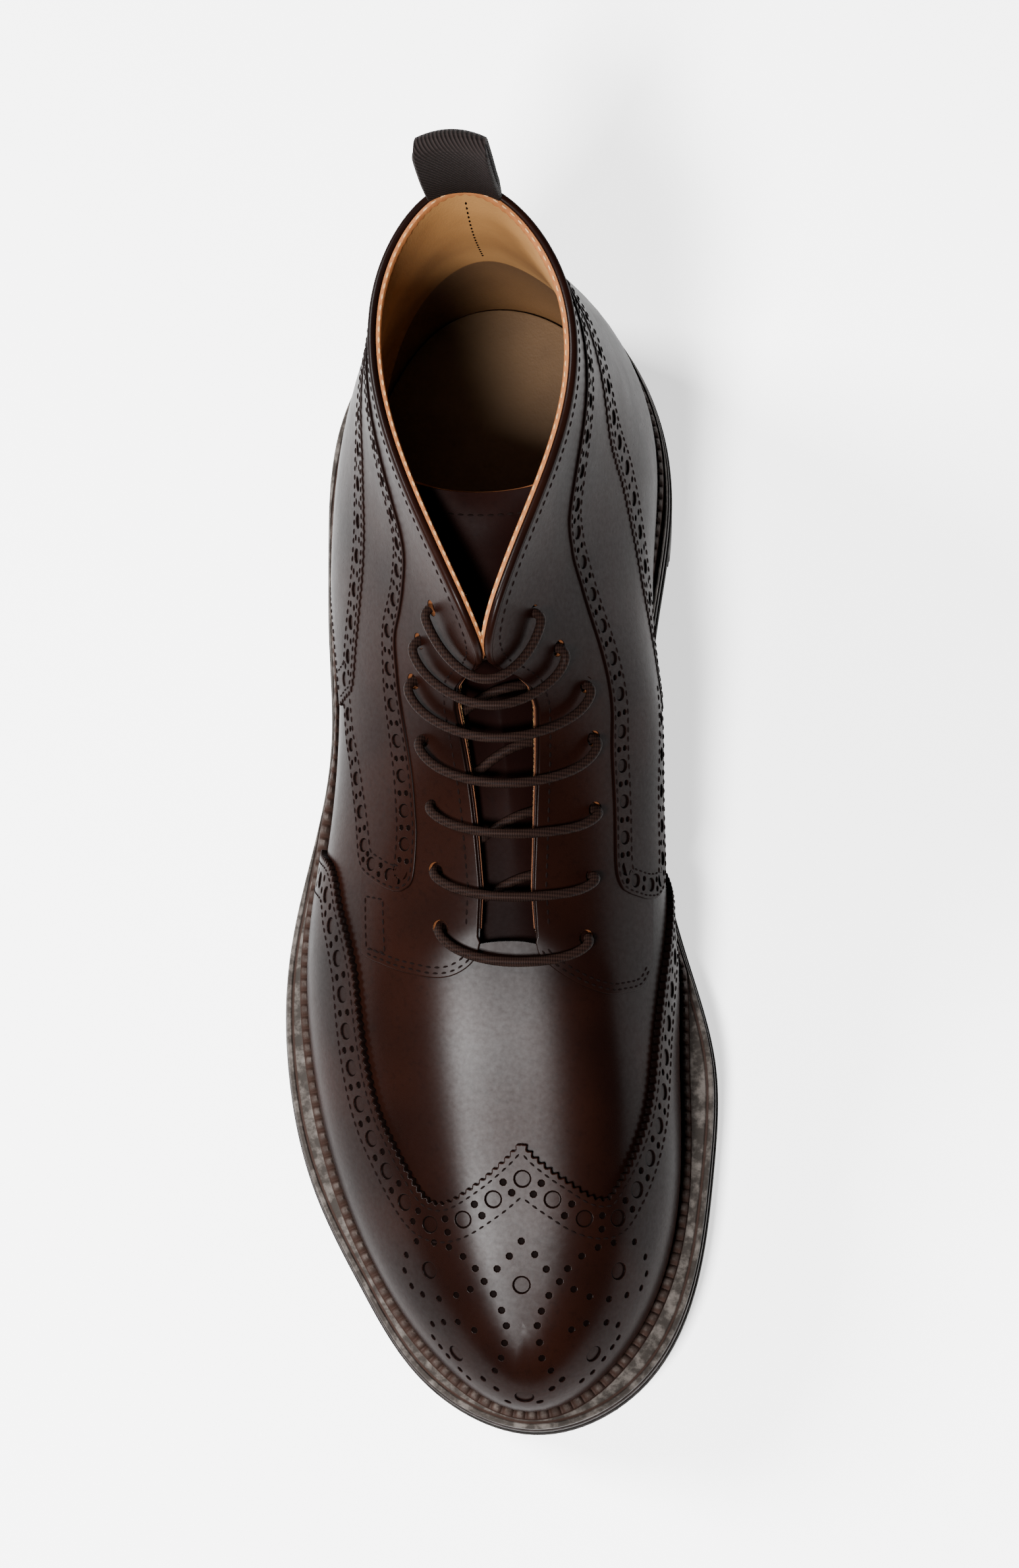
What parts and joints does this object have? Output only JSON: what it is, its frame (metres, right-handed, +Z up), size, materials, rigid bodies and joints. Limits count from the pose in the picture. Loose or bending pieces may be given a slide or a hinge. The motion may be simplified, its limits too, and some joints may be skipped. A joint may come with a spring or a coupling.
{
  "type": "lace-up ankle boot",
  "caption": "Wingtip lace-up ankle boot for the right foot: hollow leather upper with brogue overlays, tongue, lace, pull loop, storm welt, lugged rubber sole and block heel.",
  "frame": {"origin": "on the ground, under the middle of the boot's bounding box", "axes": "+Z up, toe toward -Y and heel toward +Y, big-toe (inner) side toward +X"},
  "size_m": [0.1157, 0.3085, 0.1762],
  "materials": {
    "leather": "polished burgundy-brown leather",
    "insole_leather": "plain tan leather",
    "welt": "dark brown waxed",
    "midsole": "dark brown dyed edge",
    "sole_rubber": "matt black-brown",
    "lace": "waxed round cord",
    "webbing": "twill webbing"
  },
  "bodies": {
    "root": {"upper": "leather", "wing_cap": "leather", "heel_counter": "leather", "quarter_lateral": "leather", "facing_lateral": "leather", "quarter_medial": "leather", "facing_medial": "leather", "tongue": "leather", "insole": "insole_leather", "welt": "welt", "midsole": "midsole", "outsole": "sole_rubber", "heel_stack": "midsole", "heel_lift": "sole_rubber", "lace": "lace", "pull_loop": "webbing"}
  },
  "joints": []
}
